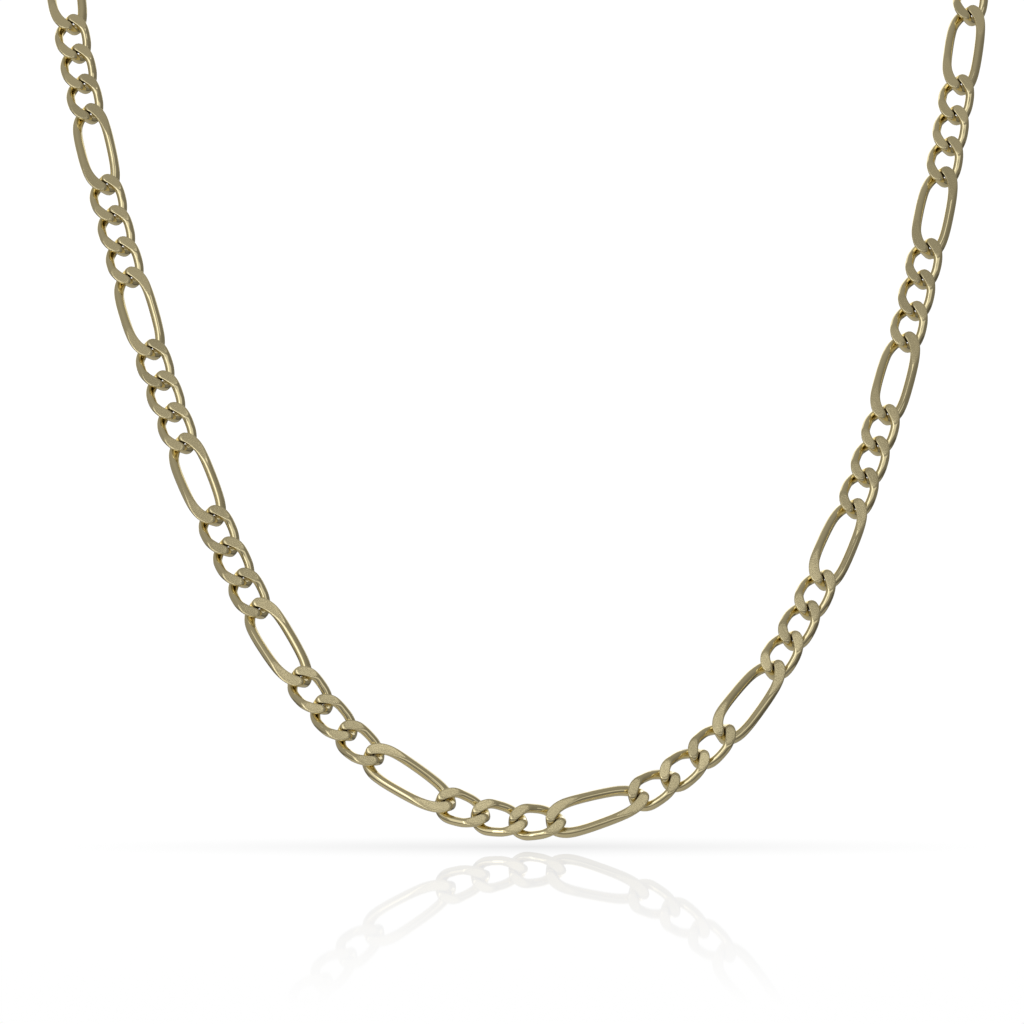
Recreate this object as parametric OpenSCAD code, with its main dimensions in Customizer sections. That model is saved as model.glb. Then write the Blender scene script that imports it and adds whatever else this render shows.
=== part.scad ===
// Figaro chain necklace: three short links, then one long link, all twisted and ground
// flat front and back. Two jump rings and a plain claw clasp close it behind the neck.
// Millimetres. +Z is up, the front faces -Y, +X is to the right seen from the front, and
// the origin is in the middle of the neck opening.

/* [Pattern] */
// Short links between two long ones
short_run = 3; // [1:1:5]
// Long links on each side of the middle group
long_per_side = 10; // [7:1:13]

/* [Short links] */
// Wire of a short link
short_wire = 1.16; // [0.8:0.02:1.4]
// Clear length that stays open in a short link between its two neighbours
short_gap = 2.55; // [2.2:0.05:4]
// Room across a short link beside the wire linked through it
short_room = 1.17; // [1:0.01:2]

/* [Long links] */
// Wire of a long link
long_wire = 1.25; // [0.8:0.01:1.5]
// Clear length that stays open in a long link between its two neighbours
long_gap = 8.6; // [6:0.1:12]
// Room across a long link beside the wire linked through it
long_room = 1.45; // [1:0.01:2]

/* [Twist and grinding] */
// Play between two linked pieces
play = 0.25; // [0.2:0.01:0.35]
// Turn of each end of a link out of the flat
twist = 60; // [52:1:62]
// Length of link that takes up the turn at each end
twist_l = 3.3; // [2.9:0.1:3.6]
// How late the turn comes within that length, 1 for an even turn
twist_growth = 1.6; // [1.2:0.1:2]
// How far the middle of the wire rises from the chain's middle where it crosses the next link
rise = 0.82; // [0.78:0.01:0.92]
// Thickness of the chain after grinding
thickness = 1.86; // [1.5:0.02:2.1]
// Share by which the wire is spread where two links cross
spread = 0.1; // [0:0.02:0.14]

/* [Jump rings] */
// Wire of a jump ring
ring_wire = 0.85; // [0.6:0.05:1.1]
// Room in a jump ring beside the two wires that it links
ring_room = 0.85; // [0.7:0.05:2]

/* [Clasp] */
// Room in the claw beside the ring that it holds
claw_room = 2.05; // [1.5:0.05:3]
// Thickness of the claw's rim
claw_wire = 1.5; // [1.1:0.1:2]
// Room in the eye beside the ring that it holds
eye_room = 0.75; // [0.6:0.05:1.5]
// Thickness of the eye's rim
eye_wire = 0.85; // [0.6:0.05:1]
// Length of the body between the claw and the eye
body_l = 4; // [3:0.1:8]
// Thickness of the body at the claw
body_d = 2.5; // [2:0.1:3]
// Width of the lever's thumb piece
thumb_d = 1.3; // [0.8:0.1:1.6]

/* [Neck] */
// Lean of the front loop back from upright
front_lean = 26; // [10:1:40]
// How far the chain faces upward from level at the side of the neck
side_rise = 82; // [60:1:90]
// How far it faces upward from level at the back
back_rise = 70; // [40:5:80]
// How far the clasp sits along the chain from the middle of the back
clasp_shift = -2.7; // [-10:0.1:10]

/* [Hidden] */

// The way round the neck, as the control points of a closed smooth curve: from the middle of
// the back over the wearer's right shoulder, down to the lowest link and up the other side.
route = [
    [0, 58, 18], [-23, 55.5, 18], [-44, 43.5, 17], [-58.5, 24.5, 13.5], [-62, 5, 4],
    [-62, -8.5, -6.5], [-56, -22, -33], [-46.5, -38, -65.5], [-35, -49.5, -91],
    [-24, -57.5, -108], [-2.5, -63.5, -122.5], [23.5, -58.5, -114], [39, -45.5, -89],
    [47.5, -35, -67.5], [55.5, -19.5, -37], [61, -5.5, -8],
    [61.5, 5, 3], [58, 24, 13], [44, 43.5, 17], [23, 55.5, 18]
];
// Depths at which the chain starts and ends to turn from facing forward to facing out
// from the neck, and the depth of its back
turn_start = -40;
turn_end = 10;
back_y = 58;

gold = "#B8A468";
wire_sides = 6;
short_rings = 16;
long_rings = 18;
oval_short = 2.6;    // squareness of the ovals, 2 for an ellipse
oval_long = 3.4;
section_turn = 0.3;  // share of the twist that the wire's own section takes
route_steps = 12;    // samples between two points of the route

linked_wire = max(short_wire, long_wire);
short_in_l = short_gap + 2 * linked_wire;
short_in_w = short_room + linked_wire;
long_in_l = long_gap + 2 * linked_wire;
long_in_w = long_room + linked_wire;
ring_in = long_wire + max(claw_wire, eye_wire) + ring_room;
claw_in = ring_wire + claw_room;
eye_in = ring_wire + eye_room;
short_pitch = short_in_l - play;
long_pitch = long_in_l - play;
ring_pitch = ring_in - play;
claw_out = claw_in + 2 * claw_wire;
clasp_in_l = claw_in + claw_wire + body_l + eye_wire + eye_in;
clasp_pitch = clasp_in_l - play;

n_long = 2 * long_per_side;
n_links = n_long + (n_long - 1) * short_run;
n_left = ceil(n_links / 2);

// The chain's pieces in order: its links, with the length that each one takes
function is_long(i) = i % (short_run + 1) == 0;
function pitch(i) = is_long(i) ? long_pitch : short_pitch;
starts = [for (i = 0, s = clasp_shift + clasp_pitch / 2 + ring_pitch; i <= n_links;
    s = s + pitch(i), i = i + 1) s];
loop_l = starts[n_links] - starts[0] + 2 * ring_pitch + clasp_pitch;

// The route as a fine line, stretched to the chain's own length
function blend(a, b, c, d, t) =
    ((1 - t)^3 * a + (3 * t^3 - 6 * t^2 + 4) * b + (-3 * t^3 + 3 * t^2 + 3 * t + 1) * c + t^3 * d) / 6;
n_route = len(route);
line = [for (i = [0 : n_route - 1], k = [0 : route_steps - 1])
    blend(route[(i + n_route - 1) % n_route], route[i], route[(i + 1) % n_route],
        route[(i + 2) % n_route], k / route_steps)];
n_line = len(line);
far = [for (i = 0, s = 0; i <= n_line;
    s = s + norm(line[(i + 1) % n_line] - line[i % n_line]), i = i + 1) s];
stretch = loop_l / far[n_line];
way = [for (axis = [0 : 2]) [for (i = [0 : n_line]) [far[i], line[i % n_line][axis]] * stretch]];
function at(s) = let (q = s < 0 ? s + loop_l : s > loop_l ? s - loop_l : s)
    [for (axis = [0 : 2]) lookup(q, way[axis])];

function unit(v) = v / norm(v);
function clamp01(u) = min(1, max(0, u));
function ease(u) = u * u * (3 - 2 * u);

// The way the chain's face looks at a point: forward in front, out from the neck behind
function facing(p) = let (
    w = ease(clamp01((p.y / stretch - turn_start) / (turn_end - turn_start))),
    rise = side_rise + (back_rise - side_rise) * clamp01(p.y / stretch / back_y),
    front = [0, -cos(front_lean), sin(front_lean)],
    out = unit([p.x, p.y, 0]) * cos(rise) + [0, 0, sin(rise)])
    unit(front * (1 - w) + out * w);

// Place of a piece that reaches from s0 to s1: its middle, then its along, across and face axes
function place(s0, s1) = let (
    a = at(s0), b = at(s1), mid = (a + b) / 2, x = unit(b - a),
    f = facing(mid), z = unit(f - x * (f * x)))
    [mid, x, cross(z, x), z];
function put(p, pl) = pl[0] + p.x * pl[1] + p.y * pl[2] + p.z * pl[3];

// Turn of the oval about the chain's direction, and the middle of the wire at angle t, which is
// pressed so that it rises no further than it needs to cross the next link
function press(z) = z / (1 + (z / rise)^4)^(1 / 4);
function turn(x, a) =
    -twist * sign(x) * clamp01((abs(x) - a) / min(a, twist_l) + 1)^twist_growth;
function oval(t, a, b, n) = let (
    x = a * sign(cos(t)) * abs(cos(t))^(2 / n),
    y = b * sign(sin(t)) * abs(sin(t))^(2 / n),
    th = turn(x, a))
    [x, y * cos(th), press(y * sin(th))];

// One link as rings of points round its wire, cut off at the ground faces
function link_points(in_l, in_w, wire, n, rings) = let (
    a = (in_l + wire) / 2, b = (in_w + wire) / 2)
    [for (k = [0 : rings - 1]) let (
        t = 360 * k / rings, c = oval(t, a, b, n), th = section_turn * turn(c.x, a),
        x = unit(oval(t + 1, a, b, n) - oval(t - 1, a, b, n)),
        up = [0, -sin(th), cos(th)], z = unit(up - x * (up * x)), y = cross(z, x),
        wide = 1 + spread * abs(c.z) / rise)
        for (j = [0 : wire_sides - 1]) let (
            q = 360 * j / wire_sides, p = c + wire / 2 * (wide * cos(q) * y + sin(q) * z))
            [p.x, p.y, max(-thickness / 2, min(thickness / 2, p.z))]];
short_points = link_points(short_in_l, short_in_w, short_wire, oval_short, short_rings);
long_points = link_points(long_in_l, long_in_w, long_wire, oval_long, long_rings);

// Triangles of a closed wire whose points start at a number
function wire_faces(start, rings) = [for (k = [0 : rings - 1], j = [0 : wire_sides - 1]) let (
    a = start + k * wire_sides, b = start + (k + 1) % rings * wire_sides, i = (j + 1) % wire_sides)
    for (face = [[a + j, b + j, b + i], [a + j, b + i, a + i]]) face];

// Links first to last as separate closed wires
module links(first, last) {
    sizes = [for (i = [first : last]) is_long(i) ? long_rings : short_rings];
    before = [for (i = 0, n = 0; i < len(sizes); n = n + sizes[i] * wire_sides, i = i + 1) n];
    points = [for (i = [first : last]) let (pl = place(starts[i], starts[i + 1]))
        for (p = is_long(i) ? long_points : short_points) put(p, pl)];
    faces = [for (i = [0 : len(sizes) - 1]) for (face = wire_faces(before[i], sizes[i])) face];
    polyhedron(points, faces);
}

// Moves its children to a place on the route
module at_place(pl) {
    multmatrix([for (axis = [0 : 2]) [pl[1][axis], pl[2][axis], pl[3][axis], pl[0][axis]]])
        children();
}

// Round wire bent to a ring, open by the given width
module ring(opening, wire) {
    rotate_extrude($fn = 64) translate([(opening + wire) / 2, 0]) circle(d = wire, $fn = 32);
}

module chain_left() color(gold) links(0, n_left - 1);
module chain_right() color(gold) links(n_left, n_links - 1);

// Ring between the first link and the clasp's claw, turned square to both
module end_ring() color(gold)
    at_place(place(starts[0] - ring_pitch, starts[0]))
        rotate([twist / 2 - 90, 0, 0]) ring(ring_in, ring_wire);

// Ring between the last link and the clasp's eye
module clasp_ring() color(gold)
    at_place(place(starts[n_links], starts[n_links] + ring_pitch))
        rotate([90 - twist / 2, 0, 0]) ring(ring_in, ring_wire);

// Plain claw clasp in one piece: claw, body, thumb piece and the eye at its tail
module clasp() color(gold) {
    claw_x = clasp_in_l / 2 - claw_in / 2;
    eye_x = eye_in / 2 - clasp_in_l / 2;
    at_place(place(clasp_shift - clasp_pitch / 2, clasp_shift + clasp_pitch / 2)) {
        translate([claw_x, 0, 0]) ring(claw_in, claw_wire);
        translate([eye_x, 0, 0]) ring(eye_in, eye_wire);
        translate([eye_x + (eye_in + eye_wire) / 2, 0, 0]) rotate([0, 90, 0])
            cylinder(h = body_l + (claw_wire + eye_wire) / 2, d1 = eye_wire * 1.2,
                d2 = body_d, $fn = 48);
        translate([claw_x - (claw_in + claw_wire) / 2, 0, 0]) sphere(d = body_d, $fn = 48);
        translate([claw_x - claw_out / 2, body_d / 2, 0]) sphere(d = thumb_d, $fn = 32);
    }
}

chain_left();
chain_right();
end_ring();
clasp_ring();
clasp();
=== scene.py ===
# Figaro chain necklace: the looks of its links, rings and clasp, with a plain studio round it.
# Lengths are in millimetres until a mesh is finished, which is then scaled to metres.
import math
import random

import bmesh
import bpy
from mathutils import Matrix, Vector


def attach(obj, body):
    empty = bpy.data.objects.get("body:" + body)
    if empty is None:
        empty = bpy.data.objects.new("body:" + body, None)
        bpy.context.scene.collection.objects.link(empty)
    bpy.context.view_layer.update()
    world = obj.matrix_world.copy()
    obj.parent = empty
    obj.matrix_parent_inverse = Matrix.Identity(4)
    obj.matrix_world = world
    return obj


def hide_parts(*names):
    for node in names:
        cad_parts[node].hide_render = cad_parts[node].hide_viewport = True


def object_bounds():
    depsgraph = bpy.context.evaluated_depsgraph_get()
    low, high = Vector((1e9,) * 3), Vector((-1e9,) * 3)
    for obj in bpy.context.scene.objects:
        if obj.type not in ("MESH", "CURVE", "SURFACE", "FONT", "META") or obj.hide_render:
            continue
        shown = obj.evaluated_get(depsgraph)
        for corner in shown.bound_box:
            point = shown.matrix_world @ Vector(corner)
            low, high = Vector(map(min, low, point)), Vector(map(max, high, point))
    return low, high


MM = 0.001

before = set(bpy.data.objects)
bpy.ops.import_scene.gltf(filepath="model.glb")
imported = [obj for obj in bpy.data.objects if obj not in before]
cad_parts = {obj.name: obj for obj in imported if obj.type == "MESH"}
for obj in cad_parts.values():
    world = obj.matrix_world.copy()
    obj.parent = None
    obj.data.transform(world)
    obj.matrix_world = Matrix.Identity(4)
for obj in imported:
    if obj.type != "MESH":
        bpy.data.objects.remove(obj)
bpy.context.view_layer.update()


# The chain's measures, as in the part
SHORT_RUN = 3
LONG_LINKS = 20
LINKS = LONG_LINKS + (LONG_LINKS - 1) * SHORT_RUN
LEFT_LINKS = 39
SHORT_PITCH = 4.8
LONG_PITCH = 10.85
RING_PITCH = 3.35
CLASP_PITCH = 10.6
CLASP_SHIFT = -2.7

# The way round the neck, as the control points of a closed smooth curve, also as in the part
ROUTE = [
    (0, 58, 18), (-23, 55.5, 18), (-44, 43.5, 17), (-58.5, 24.5, 13.5), (-62, 5, 4),
    (-62, -8.5, -6.5), (-56, -22, -33), (-46.5, -38, -65.5), (-35, -49.5, -91),
    (-24, -57.5, -108), (-2.5, -63.5, -122.5), (23.5, -58.5, -114), (39, -45.5, -89),
    (47.5, -35, -67.5), (55.5, -19.5, -37), (61, -5.5, -8),
    (61.5, 5, 3), (58, 24, 13), (44, 43.5, 17), (23, 55.5, 18),
]
ROUTE_STEPS = 12
FRONT_LEAN = math.radians(26)
SIDE_RISE = math.radians(82)
BACK_RISE = math.radians(70)
TURN_START = -40
TURN_END = 10
BACK_Y = 58


def is_long(i):
    return i % (SHORT_RUN + 1) == 0


def link_starts():
    """Where each link starts along the chain, and where the last one ends."""
    starts = [CLASP_SHIFT + CLASP_PITCH / 2 + RING_PITCH]
    for i in range(LINKS):
        starts.append(starts[-1] + (LONG_PITCH if is_long(i) else SHORT_PITCH))
    return starts


STARTS = link_starts()
LOOP = STARTS[-1] - STARTS[0] + 2 * RING_PITCH + CLASP_PITCH


def route_line():
    """The route as a fine line, the distance along it at each point, and its stretch to the loop."""
    points = []
    corners = [Vector(p) for p in ROUTE]
    for i in range(len(corners)):
        a, b, c, d = (corners[(i + k) % len(corners)] for k in (-1, 0, 1, 2))
        for step in range(ROUTE_STEPS):
            t = step / ROUTE_STEPS
            points.append(((1 - t) ** 3 * a + (3 * t ** 3 - 6 * t ** 2 + 4) * b
                           + (-3 * t ** 3 + 3 * t ** 2 + 3 * t + 1) * c + t ** 3 * d) / 6)
    points.append(points[0].copy())
    far = [0.0]
    for p, q in zip(points, points[1:]):
        far.append(far[-1] + (q - p).length)
    stretch = LOOP / far[-1]
    return [p * stretch for p in points], [s * stretch for s in far], stretch


LINE, FAR, STRETCH = route_line()


def at(s):
    """Point of the route at a distance along it."""
    s = s % LOOP
    low, high = 0, len(FAR) - 1
    while high - low > 1:
        middle = (low + high) // 2
        if FAR[middle] <= s:
            low = middle
        else:
            high = middle
    return LINE[low].lerp(LINE[high], (s - FAR[low]) / (FAR[high] - FAR[low]))


def facing(p):
    """The way the chain's face looks: forward in front, up and out from the neck behind."""
    u = min(1, max(0, (p.y / STRETCH - TURN_START) / (TURN_END - TURN_START)))
    turned = u * u * (3 - 2 * u)
    back = min(1, max(0, p.y / STRETCH / BACK_Y))
    rise = SIDE_RISE + (BACK_RISE - SIDE_RISE) * back
    front = Vector((0, -math.cos(FRONT_LEAN), math.sin(FRONT_LEAN)))
    out = Vector((p.x, p.y, 0)).normalized() * math.cos(rise) + Vector((0, 0, math.sin(rise)))
    return (front * (1 - turned) + out * turned).normalized()


def place(s0, s1):
    """Place of a piece that reaches from s0 to s1, from millimetres to metres."""
    a, b = at(s0), at(s1)
    middle, along = (a + b) / 2, (b - a).normalized()
    face = facing(middle)
    face = (face - along * along.dot(face)).normalized()
    across = face.cross(along)
    turn = Matrix((along, across, face)).transposed().to_4x4()
    return Matrix.Scale(MM, 4) @ Matrix.Translation(middle) @ turn


# One link: round wire bent to an oval, twisted, pressed where it crosses the next, then ground.
# The twist in all, and the share of it that grows evenly; the rest comes late, near the tip
TWIST = math.radians(55)
TWIST_EVEN = 0.5
TWIST_LENGTH = 3.3
TWIST_GROWTH = 2.2
# How far the middle of the wire rises where it crosses the next link, and how softly it levels off
RISE = 0.82
RISE_SHARPNESS = 4
# Thickness of the chain between its ground faces, and how crisp their edges are
THICKNESS = 1.86
EDGE_SHARPNESS = 20
# Shares by which the pressed wire is wider and thinner, and how close to its highest place
SPREAD = 0.12
THINNED = 0.07
PRESSED_CLOSE = 6
# How far the pressed wire's section goes from round towards square, and how close to that place
SQUARED = 2
SQUARED_CLOSE = 3
# Share by which the wire is wider at the very tip
SWELL = 0.04
# Play between two linked tips
SEAT_PLAY = 0.1
# Seat inside a tip, rougher from wear and darkened with painted shade: its reach in wire diameters, and
# how soon it ends below a ground face
SEAT_REACH = 1.6
SEAT_FADE = 8
# Sides of the wire, and the circle on which it is spun before it is bent
WIRE_SIDES = 26
SPIN_RADIUS = 10
# Fine points along half a link, and the length of wire that a bend of one radian counts for
FINE = 720
BEND_COUNTS = 0.9
MERGE = 0.002


def soft_limit(value, limit, sharpness):
    """Keeps a value inside plus or minus the limit, with a rounded shoulder."""
    return value / (1 + (value / limit) ** sharpness) ** (1 / sharpness)


class LinkShape:
    def __init__(self, pitch, width, wire, squareness, steps):
        self.wire = wire
        self.a = (pitch + SEAT_PLAY + wire) / 2
        self.b = (width - wire) / 2
        self.squareness = squareness
        self.steps = steps

    def middle(self, t):
        """Middle of the wire at the oval's angle t."""
        power = 2 / self.squareness
        x = self.a * math.copysign(abs(math.cos(t)) ** power, math.cos(t))
        y = self.b * math.copysign(abs(math.sin(t)) ** power, math.sin(t))
        reach = min(self.a, TWIST_LENGTH)
        late = max(0, 1 - (self.a - abs(x)) / reach) ** TWIST_GROWTH
        turned = TWIST_EVEN * abs(x) / self.a + (1 - TWIST_EVEN) * late
        turn = -math.copysign(TWIST * turned, x)
        return Vector((x, y * math.cos(turn), soft_limit(y * math.sin(turn), RISE, RISE_SHARPNESS)))

    def stations(self):
        """Middle, side and face directions and length of the wire from tip to tip, closer in bends."""
        points = [self.middle(math.pi * k / FINE) for k in range(-1, FINE + 2)]
        heads = [(q - p).normalized() for p, q in zip(points, points[1:])]
        measure, length = [0.0], [0.0]
        for k in range(FINE):
            step = (points[k + 2] - points[k + 1]).length
            length.append(length[-1] + step)
            measure.append(measure[-1] + step + BEND_COUNTS * heads[k + 1].angle(heads[k]))
        stations, k = [], 0
        for n in range(self.steps + 1):
            want = measure[-1] * n / self.steps
            while k < FINE and measure[k] < want - 1e-9:
                k += 1
            along = (points[k + 2] - points[k]).normalized()
            face = Vector((0, 0, 1))
            face = (face - along * along.dot(face)).normalized()
            stations.append((points[k + 1], face.cross(along), face, length[k]))
        return stations


def bend_and_grind(v, station, out, up, highest, shape, ground, seat_wear_and_shade):
    """Moves a point of the spun wire, out and up from the wire's middle, to its place on the link."""
    middle, side, face = station[:3]
    lift = middle.z / highest
    from_tip = shape.a - abs(middle.x)
    pressed = lift ** PRESSED_CLOSE
    if up * lift > 0:
        power = 2 + SQUARED * abs(lift) ** SQUARED_CLOSE
        round_sum = abs(2 * out / shape.wire) ** power + abs(2 * up / shape.wire) ** power
        out /= round_sum ** (1 / power)
        up /= round_sum ** (1 / power)
    swollen = max(0, 1 - from_tip / shape.wire) * (1 - abs(lift))
    v.co = (middle + side * out * (1 + SPREAD * pressed + SWELL * swollen)
            + face * up * (1 - THINNED * pressed))
    v[ground] = abs(v.co.z) - THICKNESS / 2
    # Seat mask near each tip: wear makes it rougher, and its colour is painted shade
    shaded_seat = max(0, 1 - from_tip / (SEAT_REACH * shape.wire)) * max(0, 2 * out / shape.wire)
    v[seat_wear_and_shade] = shaded_seat * min(1, max(0, -SEAT_FADE * v[ground]))
    v.co.z = soft_limit(v.co.z, THICKNESS / 2, EDGE_SHARPNESS)


def shape_link(shape):
    """Half the wire is spun, bent and ground; its twin, turned over, closes the link."""
    bm = bmesh.new()
    upright = Matrix.Translation((SPIN_RADIUS, 0, 0)) @ Matrix.Rotation(math.pi / 2, 4, "X")
    bmesh.ops.create_circle(bm, segments=WIRE_SIDES, radius=shape.wire / 2, matrix=upright)
    bmesh.ops.spin(bm, geom=bm.verts[:] + bm.edges[:], cent=(0, 0, 0), axis=(0, 0, 1),
                   angle=math.pi, steps=shape.steps)
    stations = shape.stations()
    highest = max(abs(station[0].z) for station in stations)
    uv = bm.loops.layers.uv.new("wire")
    ground = bm.verts.layers.float.new("ground")
    seat_wear_and_shade = bm.verts.layers.float.new("seat_wear_and_shade")
    spots = {}
    for v in bm.verts:
        k = round(abs(math.atan2(v.co.y, v.co.x)) / math.pi * shape.steps)
        out, up = math.hypot(v.co.x, v.co.y) - SPIN_RADIUS, v.co.z
        spots[v] = (stations[k][3], math.atan2(up, out) % (2 * math.pi))
        bend_and_grind(v, stations[k], out, up, highest, shape, ground, seat_wear_and_shade)
    for f in bm.faces:
        f.smooth = True
        wraps = max(spots[v][1] for v in f.verts) - min(spots[v][1] for v in f.verts) > math.pi
        for loop in f.loops:
            length, angle = spots[loop.vert]
            if wraps and angle < math.pi:
                angle += 2 * math.pi
            loop[uv].uv = (length, angle * shape.wire / 2)
    twin = bmesh.ops.duplicate(bm, geom=bm.verts[:] + bm.edges[:] + bm.faces[:])["geom"]
    bmesh.ops.rotate(bm, verts=[v for v in twin if isinstance(v, bmesh.types.BMVert)],
                     cent=(0, 0, 0), matrix=Matrix.Rotation(math.pi, 3, "X"))
    bmesh.ops.remove_doubles(bm, verts=bm.verts[:], dist=MERGE)
    bmesh.ops.recalc_face_normals(bm, faces=bm.faces[:])
    mesh = bpy.data.meshes.new("link")
    bm.to_mesh(mesh)
    bm.free()
    return mesh


short_mesh = shape_link(LinkShape(pitch=SHORT_PITCH, width=4.74, wire=1.16, squareness=2.6, steps=36))
long_mesh = shape_link(LinkShape(pitch=LONG_PITCH, width=5.2, wire=1.25, squareness=3.4, steps=50))

# Darkest and brightest ground face, because each link hangs a little differently to the light
TONES = (0.84, 1.14)


def chain(name, first, last, seed):
    """Links first to last as one mesh, each on its place along the route and with its own tone."""
    tones = random.Random(seed)
    bm = bmesh.new()
    tone = bm.verts.layers.float.new("tone")
    for i in range(first, last):
        old = len(bm.verts)
        bm.from_mesh(long_mesh if is_long(i) else short_mesh)
        bm.verts.ensure_lookup_table()
        bmesh.ops.transform(bm, matrix=place(STARTS[i], STARTS[i + 1]), verts=bm.verts[old:])
        level = tones.uniform(*TONES)
        for v in bm.verts[old:]:
            v[tone] = level
    mesh = bpy.data.meshes.new(name)
    bm.to_mesh(mesh)
    bm.free()
    mesh.materials.append(link_gold)
    piece = bpy.data.objects.new(name, mesh)
    bpy.context.scene.collection.objects.link(piece)
    return piece


def linear(code):
    """sRGB hex colour as linear red, green, blue and alpha."""
    parts = [int(code[i:i + 2], 16) / 255 for i in (1, 3, 5)]
    return [c / 12.92 if c <= 0.04045 else ((c + 0.055) / 1.055) ** 2.4 for c in parts] + [1]


def new_material(name):
    material = bpy.data.materials.new(name)
    material.use_nodes = True
    material.node_tree.nodes.clear()
    return material, material.node_tree


def add(tree, kind, settings=None, links=None):
    """Adds a node. Settings are socket or property: value, and links are socket: (node, output)."""
    node = tree.nodes.new(kind)
    for key, value in (settings or {}).items():
        if isinstance(key, int) or key in node.inputs:
            node.inputs[key].default_value = value
        else:
            setattr(node, key, value)
    for key, (source, output) in (links or {}).items():
        tree.links.new(source.outputs[output], node.inputs[key])
    return node


# Colour of 14 karat yellow gold, and the dark painted shade in the seat where two links rub
YELLOW_GOLD = "#F1E4B7"
SEAT_SHADE_GOLD = "#6B5A3C"
# Lines left by the drawing die, 0.2 mm apart round the wire and about 3 mm long
DIE_LINES_PER_MM = (0.3, 5, 1)
DIE_LINE_DEPTH = 0.0012 * MM
# Soft dents left by bending and tumbling, about 3 mm along the wire and 1 mm round it
DENTS_PER_MM = (0.35, 0.8, 1)
DENT_DEPTH = 0.04 * MM
# Grit of the grinding belt, drawn 0.15 mm wide, since the real grit is too fine to show
GRAINS_PER_METRE = 6500
GRAIN_DEPTH = 0.012 * MM
# Roughness of the tumbled wire and of a ground face, and what wear adds to it
TUMBLED_ROUGHNESS = 0.07
GROUND_ROUGHNESS = 0.24
WORN_ROUGHNESS = 0.4
# A ground face starts softly, from just under its level to a little above it
GROUND_FROM = -0.01
GROUND_TO = 0.04
# Cast parts: dents about 2.4 mm apart, and their roughness
CAST_DENTS_PER_METRE = 420
CAST_ROUGHNESS = 0.09


def drawn_gold(name):
    """Gold wire, drawn, bent and tumbled, and its link ground flat front and back.

    The wire is bright, with long unbroken highlights that waver a little. The ground faces are
    satin and even, each a little lighter or darker than the next, and the seats inside the tips
    are dull from wear and dark with painted shade, which parts one link from the next.
    """
    material, tree = new_material(name)
    along = add(tree, "ShaderNodeUVMap", {"uv_map": "wire"})
    lines = add(tree, "ShaderNodeMapping", {"Scale": DIE_LINES_PER_MM}, {"Vector": (along, "UV")})
    drawn = add(tree, "ShaderNodeTexNoise", {"Scale": 1, "Detail": 2}, {"Vector": (lines, "Vector")})
    waves = add(tree, "ShaderNodeMapping", {"Scale": DENTS_PER_MM}, {"Vector": (along, "UV")})
    bent = add(tree, "ShaderNodeTexNoise", {"Scale": 1, "Detail": 1}, {"Vector": (waves, "Vector")})
    spot = add(tree, "ShaderNodeTexCoord")
    grit = add(tree, "ShaderNodeTexNoise", {"Scale": GRAINS_PER_METRE, "Detail": 2},
               {"Vector": (spot, "Object")})
    ground = add(tree, "ShaderNodeAttribute", {"attribute_name": "ground"})
    face = add(tree, "ShaderNodeMapRange", {"From Min": GROUND_FROM, "From Max": GROUND_TO},
               {"Value": (ground, "Fac")})
    dented = add(tree, "ShaderNodeBump", {"Strength": 1, "Distance": DENT_DEPTH},
                 {"Height": (bent, "Fac")})
    lined = add(tree, "ShaderNodeBump", {"Strength": 1, "Distance": DIE_LINE_DEPTH},
                {"Height": (drawn, "Fac"), "Normal": (dented, "Normal")})
    satin = add(tree, "ShaderNodeBump", {"Distance": GRAIN_DEPTH},
                {"Strength": (face, "Result"), "Height": (grit, "Fac"), "Normal": (lined, "Normal")})
    rough = add(tree, "ShaderNodeMapRange", {"To Min": TUMBLED_ROUGHNESS, "To Max": GROUND_ROUGHNESS},
                {"Value": (face, "Result")})
    seat_wear_and_shade = add(tree, "ShaderNodeAttribute", {"attribute_name": "seat_wear_and_shade"})
    # Painted shade: the gold darkens into the seat inside each tip
    shaded_seat = add(tree, "ShaderNodeValToRGB", links={"Fac": (seat_wear_and_shade, "Fac")})
    shaded_seat.color_ramp.elements[0].position = 0.25
    shaded_seat.color_ramp.elements[0].color = linear(YELLOW_GOLD)
    shaded_seat.color_ramp.elements[1].position = 0.85
    shaded_seat.color_ramp.elements[1].color = linear(SEAT_SHADE_GOLD)
    tone = add(tree, "ShaderNodeAttribute", {"attribute_name": "tone"})
    toned = add(tree, "ShaderNodeHueSaturation", links={
        "Color": (shaded_seat, "Color"), "Value": (tone, "Fac"), "Fac": (face, "Result")})
    dull = add(tree, "ShaderNodeMath", {"operation": "MULTIPLY_ADD", 1: WORN_ROUGHNESS},
               {0: (seat_wear_and_shade, "Fac"), 2: (rough, "Result")})
    shine = add(tree, "ShaderNodeBsdfPrincipled", {"Metallic": 1}, {
        "Base Color": (toned, "Color"), "Roughness": (dull, "Value"), "Normal": (satin, "Normal")})
    add(tree, "ShaderNodeOutputMaterial", links={"Surface": (shine, "BSDF")})
    return material


def cast_gold(name):
    """Gold parts, cast and tumbled: bright all over, with highlights that faint dents bend."""
    material, tree = new_material(name)
    spot = add(tree, "ShaderNodeTexCoord")
    dents = add(tree, "ShaderNodeTexNoise", {"Scale": CAST_DENTS_PER_METRE, "Detail": 1},
                {"Vector": (spot, "Object")})
    dented = add(tree, "ShaderNodeBump", {"Strength": 1, "Distance": DENT_DEPTH},
                 {"Height": (dents, "Fac")})
    shine = add(tree, "ShaderNodeBsdfPrincipled",
                {"Metallic": 1, "Base Color": linear(YELLOW_GOLD), "Roughness": CAST_ROUGHNESS},
                {"Normal": (dented, "Normal")})
    add(tree, "ShaderNodeOutputMaterial", links={"Surface": (shine, "BSDF")})
    return material


link_gold = drawn_gold("gold_drawn_tumbled_and_ground_satin")
ring_gold = cast_gold("gold_cast_and_tumbled_bright")

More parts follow.
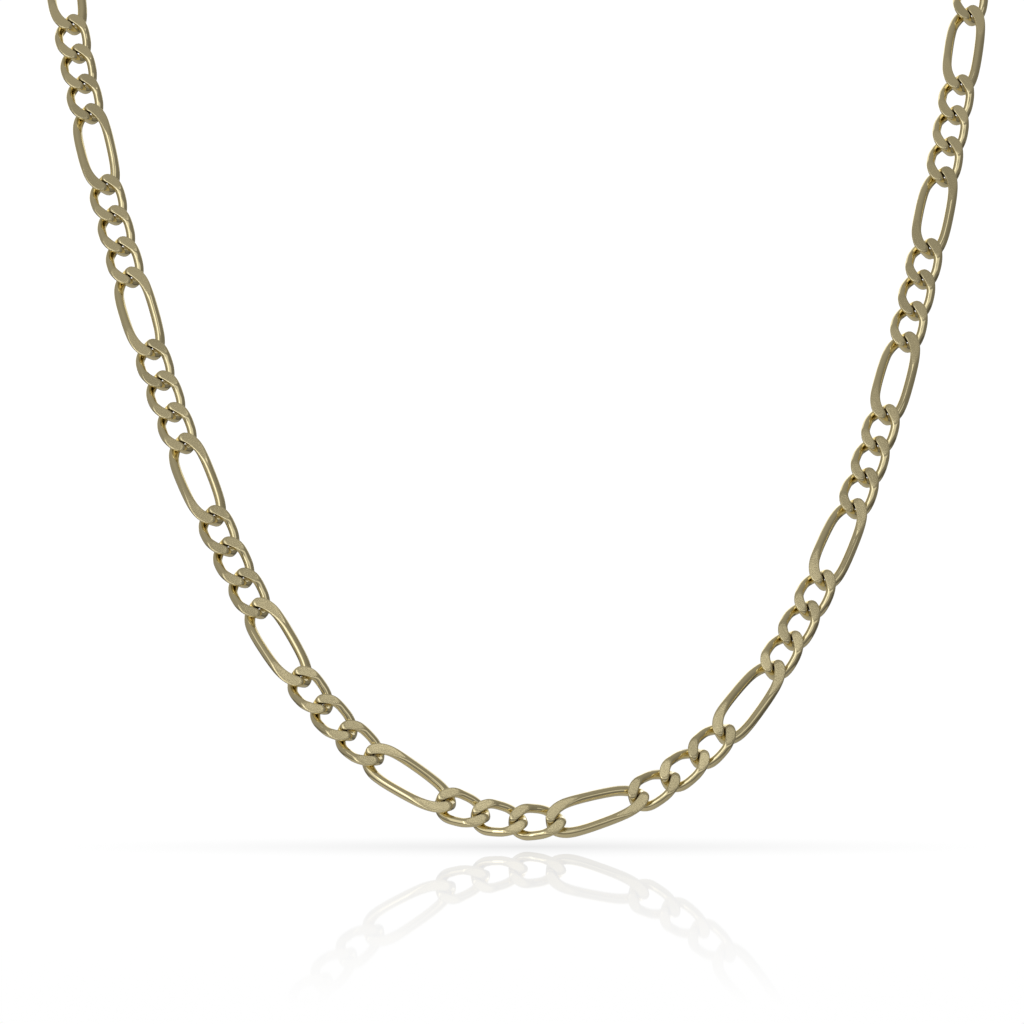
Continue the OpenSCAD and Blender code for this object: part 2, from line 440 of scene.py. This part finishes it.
links_left = chain("links_left", 0, LEFT_LINKS, 4)
links_right = chain("links_right", LEFT_LINKS, LINKS, 9)
for piece, node in ((links_left, "chain_left"), (links_right, "chain_right")):
    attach(piece, "root")
    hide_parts(node)
for node in ("end_ring", "clasp_ring", "clasp"):
    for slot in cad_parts[node].material_slots:
        slot.material = ring_gold


# Studio, in metres: a glossy white sheet under the chain, white paper all round, and a white card
# behind, which is what the sheet mirrors in front of the camera
scene = bpy.context.scene
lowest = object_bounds()[0].z

FLOOR_GAP = 0.0007
FLOOR_HALF = 2.8
BACKDROP_RADIUS = 7
PAPER_GLOW = 1.05
CARD_HALF = 0.7
CARD_MIDDLE = 0.69
# Soft shade on the sheet under the lowest links: its place, its half sizes and its deepest level
SHADE_PLACE = (0.001, -0.063)
SHADE_SIZE = (0.075, 0.034)
SHADE_LEVEL = 0.75
# Share of mirror in the sheet, which fades out towards the front
MIRROR = 0.24
MIRROR_FROM = -0.1
MIRROR_TO = -0.32


def glowing(name, glow):
    """White surface that gives light of itself, so it looks even without lamps."""
    material, tree = new_material(name)
    light = add(tree, "ShaderNodeEmission", {"Color": linear("#FFFFFF"), "Strength": glow})
    return material, tree, light


def stage_object(name, bm, material):
    mesh = bpy.data.meshes.new(name)
    bm.to_mesh(mesh)
    bm.free()
    mesh.materials.append(material)
    item = bpy.data.objects.new(name, mesh)
    scene.collection.objects.link(item)
    return item


# White acrylic sheet, cast and polished: it shows a faint mirror image of the chain
acrylic, tree, light = glowing("acrylic_sheet_white_glossy", 1)
spot = add(tree, "ShaderNodeTexCoord")
under = add(tree, "ShaderNodeMapping",
            {"vector_type": "TEXTURE", "Location": (*SHADE_PLACE, lowest), "Scale": (*SHADE_SIZE, 1)},
            {"Vector": (spot, "Object")})
shade = add(tree, "ShaderNodeTexGradient", {"gradient_type": "QUADRATIC_SPHERE"},
            {"Vector": (under, "Vector")})
level = add(tree, "ShaderNodeMapRange", {"To Min": 1, "To Max": SHADE_LEVEL}, {"Value": (shade, "Fac")})
tree.links.new(level.outputs["Result"], light.inputs["Strength"])
gloss = add(tree, "ShaderNodeBsdfGlossy", {"Roughness": 0.02, "Color": linear("#FFFFFF")})
on_sheet = add(tree, "ShaderNodeSeparateXYZ", links={"Vector": (spot, "Object")})
polish = add(tree, "ShaderNodeMapRange",
             {"From Min": MIRROR_TO, "From Max": MIRROR_FROM, "To Min": 0, "To Max": MIRROR},
             {"Value": (on_sheet, "Y")})
sheet = add(tree, "ShaderNodeMixShader",
            links={"Fac": (polish, "Result"), 1: (light, "Emission"), 2: (gloss, "BSDF")})
add(tree, "ShaderNodeOutputMaterial", links={"Surface": (sheet, "Shader")})

# White paper lit from behind: even and bright, with no shadow on it
paper, tree, light = glowing("paper_white_backlit", PAPER_GLOW)
add(tree, "ShaderNodeOutputMaterial", links={"Surface": (light, "Emission")})

bm = bmesh.new()
bmesh.ops.create_grid(bm, x_segments=1, y_segments=1, size=FLOOR_HALF)
bmesh.ops.translate(bm, verts=bm.verts[:], vec=(0, 0, lowest - FLOOR_GAP))
floor = stage_object("floor", bm, acrylic)

bm = bmesh.new()
bmesh.ops.create_icosphere(bm, subdivisions=3, radius=BACKDROP_RADIUS)
backdrop = stage_object("backdrop", bm, paper)

bm = bmesh.new()
bmesh.ops.create_grid(bm, x_segments=1, y_segments=1, size=CARD_HALF)
bmesh.ops.rotate(bm, verts=bm.verts[:], cent=(0, 0, 0), matrix=Matrix.Rotation(math.pi / 2, 3, "X"))
bmesh.ops.translate(bm, verts=bm.verts[:], vec=(0, FLOOR_HALF, lowest + CARD_MIDDLE))
card = stage_object("card", bm, paper)
card.visible_diffuse = False

# The gold mirrors the world's soft grey walls in place of the floor and the paper
for item in (floor, backdrop):
    item.visible_glossy = False
    item.visible_diffuse = False
    item.visible_shadow = False

# The lamps don't show in the sheet's mirror
all_but_floor = bpy.data.collections.new("all_but_floor")
all_but_floor.objects.link(floor)
all_but_floor.collection_objects[0].light_linking.link_state = "EXCLUDE"


def softbox(name, azimuth, elevation, width, height, brightness, distance=1.2, target=(0, 0, -0.06)):
    """Area light that looks at a place on the chain; azimuth 0 is the front, 90 the right."""
    a, e = math.radians(azimuth), math.radians(elevation)
    back = Vector((math.sin(a) * math.cos(e), -math.cos(a) * math.cos(e), math.sin(e)))
    data = bpy.data.lights.new(name, "AREA")
    data.shape = "RECTANGLE"
    data.size = width
    data.size_y = height
    data.energy = brightness * math.pi * width * height
    lamp = bpy.data.objects.new(name, data)
    lamp.location = Vector(target) + back * distance
    lamp.rotation_mode = "QUATERNION"
    lamp.rotation_quaternion = back.to_track_quat("Z", "Y")
    lamp.visible_camera = False
    lamp.light_linking.receiver_collection = all_but_floor
    scene.collection.objects.link(lamp)


softbox("front_left", azimuth=-36, elevation=16, width=0.9, height=1.1, brightness=0.5)
softbox("front_low", azimuth=8, elevation=14, width=1.35, height=0.34, brightness=0.42)
softbox("front_strip", azimuth=-34, elevation=12, width=0.14, height=0.9, brightness=1.2, distance=1.1)
softbox("back_left", azimuth=-158, elevation=25, width=0.8, height=1.2, brightness=0.7)
softbox("back_right", azimuth=152, elevation=35, width=0.9, height=0.9, brightness=0.65)
softbox("over_the_front", azimuth=4, elevation=52, width=0.1, height=0.07, brightness=0.6, distance=0.4,
        target=(0.008, -0.062, -0.12))

# The room that the gold mirrors: (height, level) from straight down to straight up, with a dark
# gap below the chain, and (side, share) from left to right
WALLS = ((0.0, 0.4), (0.26, 0.42), (0.29, 0.16), (0.38, 0.14), (0.41, 0.28), (0.8, 0.29), (0.9, 0.33),
         (1.0, 0.3))
SIDES = ((0.0, 1.05), (0.5, 1), (1.0, 0.6))
WARMTH = (1.02, 1, 0.97)


def shade_ramp(node, stops):
    """Sets a ramp's stops as (position, level), all a little warm."""
    ramp = node.color_ramp
    ramp.elements.remove(ramp.elements[0])
    for n, (position, level) in enumerate(stops):
        stop = ramp.elements[0] if n == 0 else ramp.elements.new(position)
        stop.position = position
        stop.color = [level * share for share in WARMTH] + [1]


world = bpy.data.worlds.new("studio")
scene.world = world
world.use_nodes = True
tree = world.node_tree
look = add(tree, "ShaderNodeTexCoord")
ways = add(tree, "ShaderNodeSeparateXYZ", links={"Vector": (look, "Generated")})
height = add(tree, "ShaderNodeMapRange", {"From Min": -1, "From Max": 1}, {"Value": (ways, "Z")})
walls = add(tree, "ShaderNodeValToRGB", links={"Fac": (height, "Result")})
shade_ramp(walls, WALLS)
side = add(tree, "ShaderNodeMapRange", {"From Min": -1, "From Max": 1}, {"Value": (ways, "X")})
sides = add(tree, "ShaderNodeValToRGB", links={"Fac": (side, "Result")})
shade_ramp(sides, SIDES)
# Sockets 6 and 7 of a Mix node are its two colours, and output 2 is the colour that it gives
room = add(tree, "ShaderNodeMix",
           {"data_type": "RGBA", "blend_type": "MULTIPLY", "clamp_result": False, 0: 1},
           {6: (walls, "Color"), 7: (sides, "Color")})
tree.links.new(room.outputs[2], tree.nodes["Background"].inputs["Color"])
scene.view_settings.view_transform = "Standard"

# Level camera in front, a little above the middle of the front loop
camera = bpy.data.objects.new("camera", bpy.data.cameras.new("camera"))
camera.data.lens = 225
camera.data.sensor_width = 36
camera.location = (-0.0012, -0.862, -0.080)
camera.rotation_euler = (math.pi / 2, 0, 0)
scene.collection.objects.link(camera)
scene.camera = camera
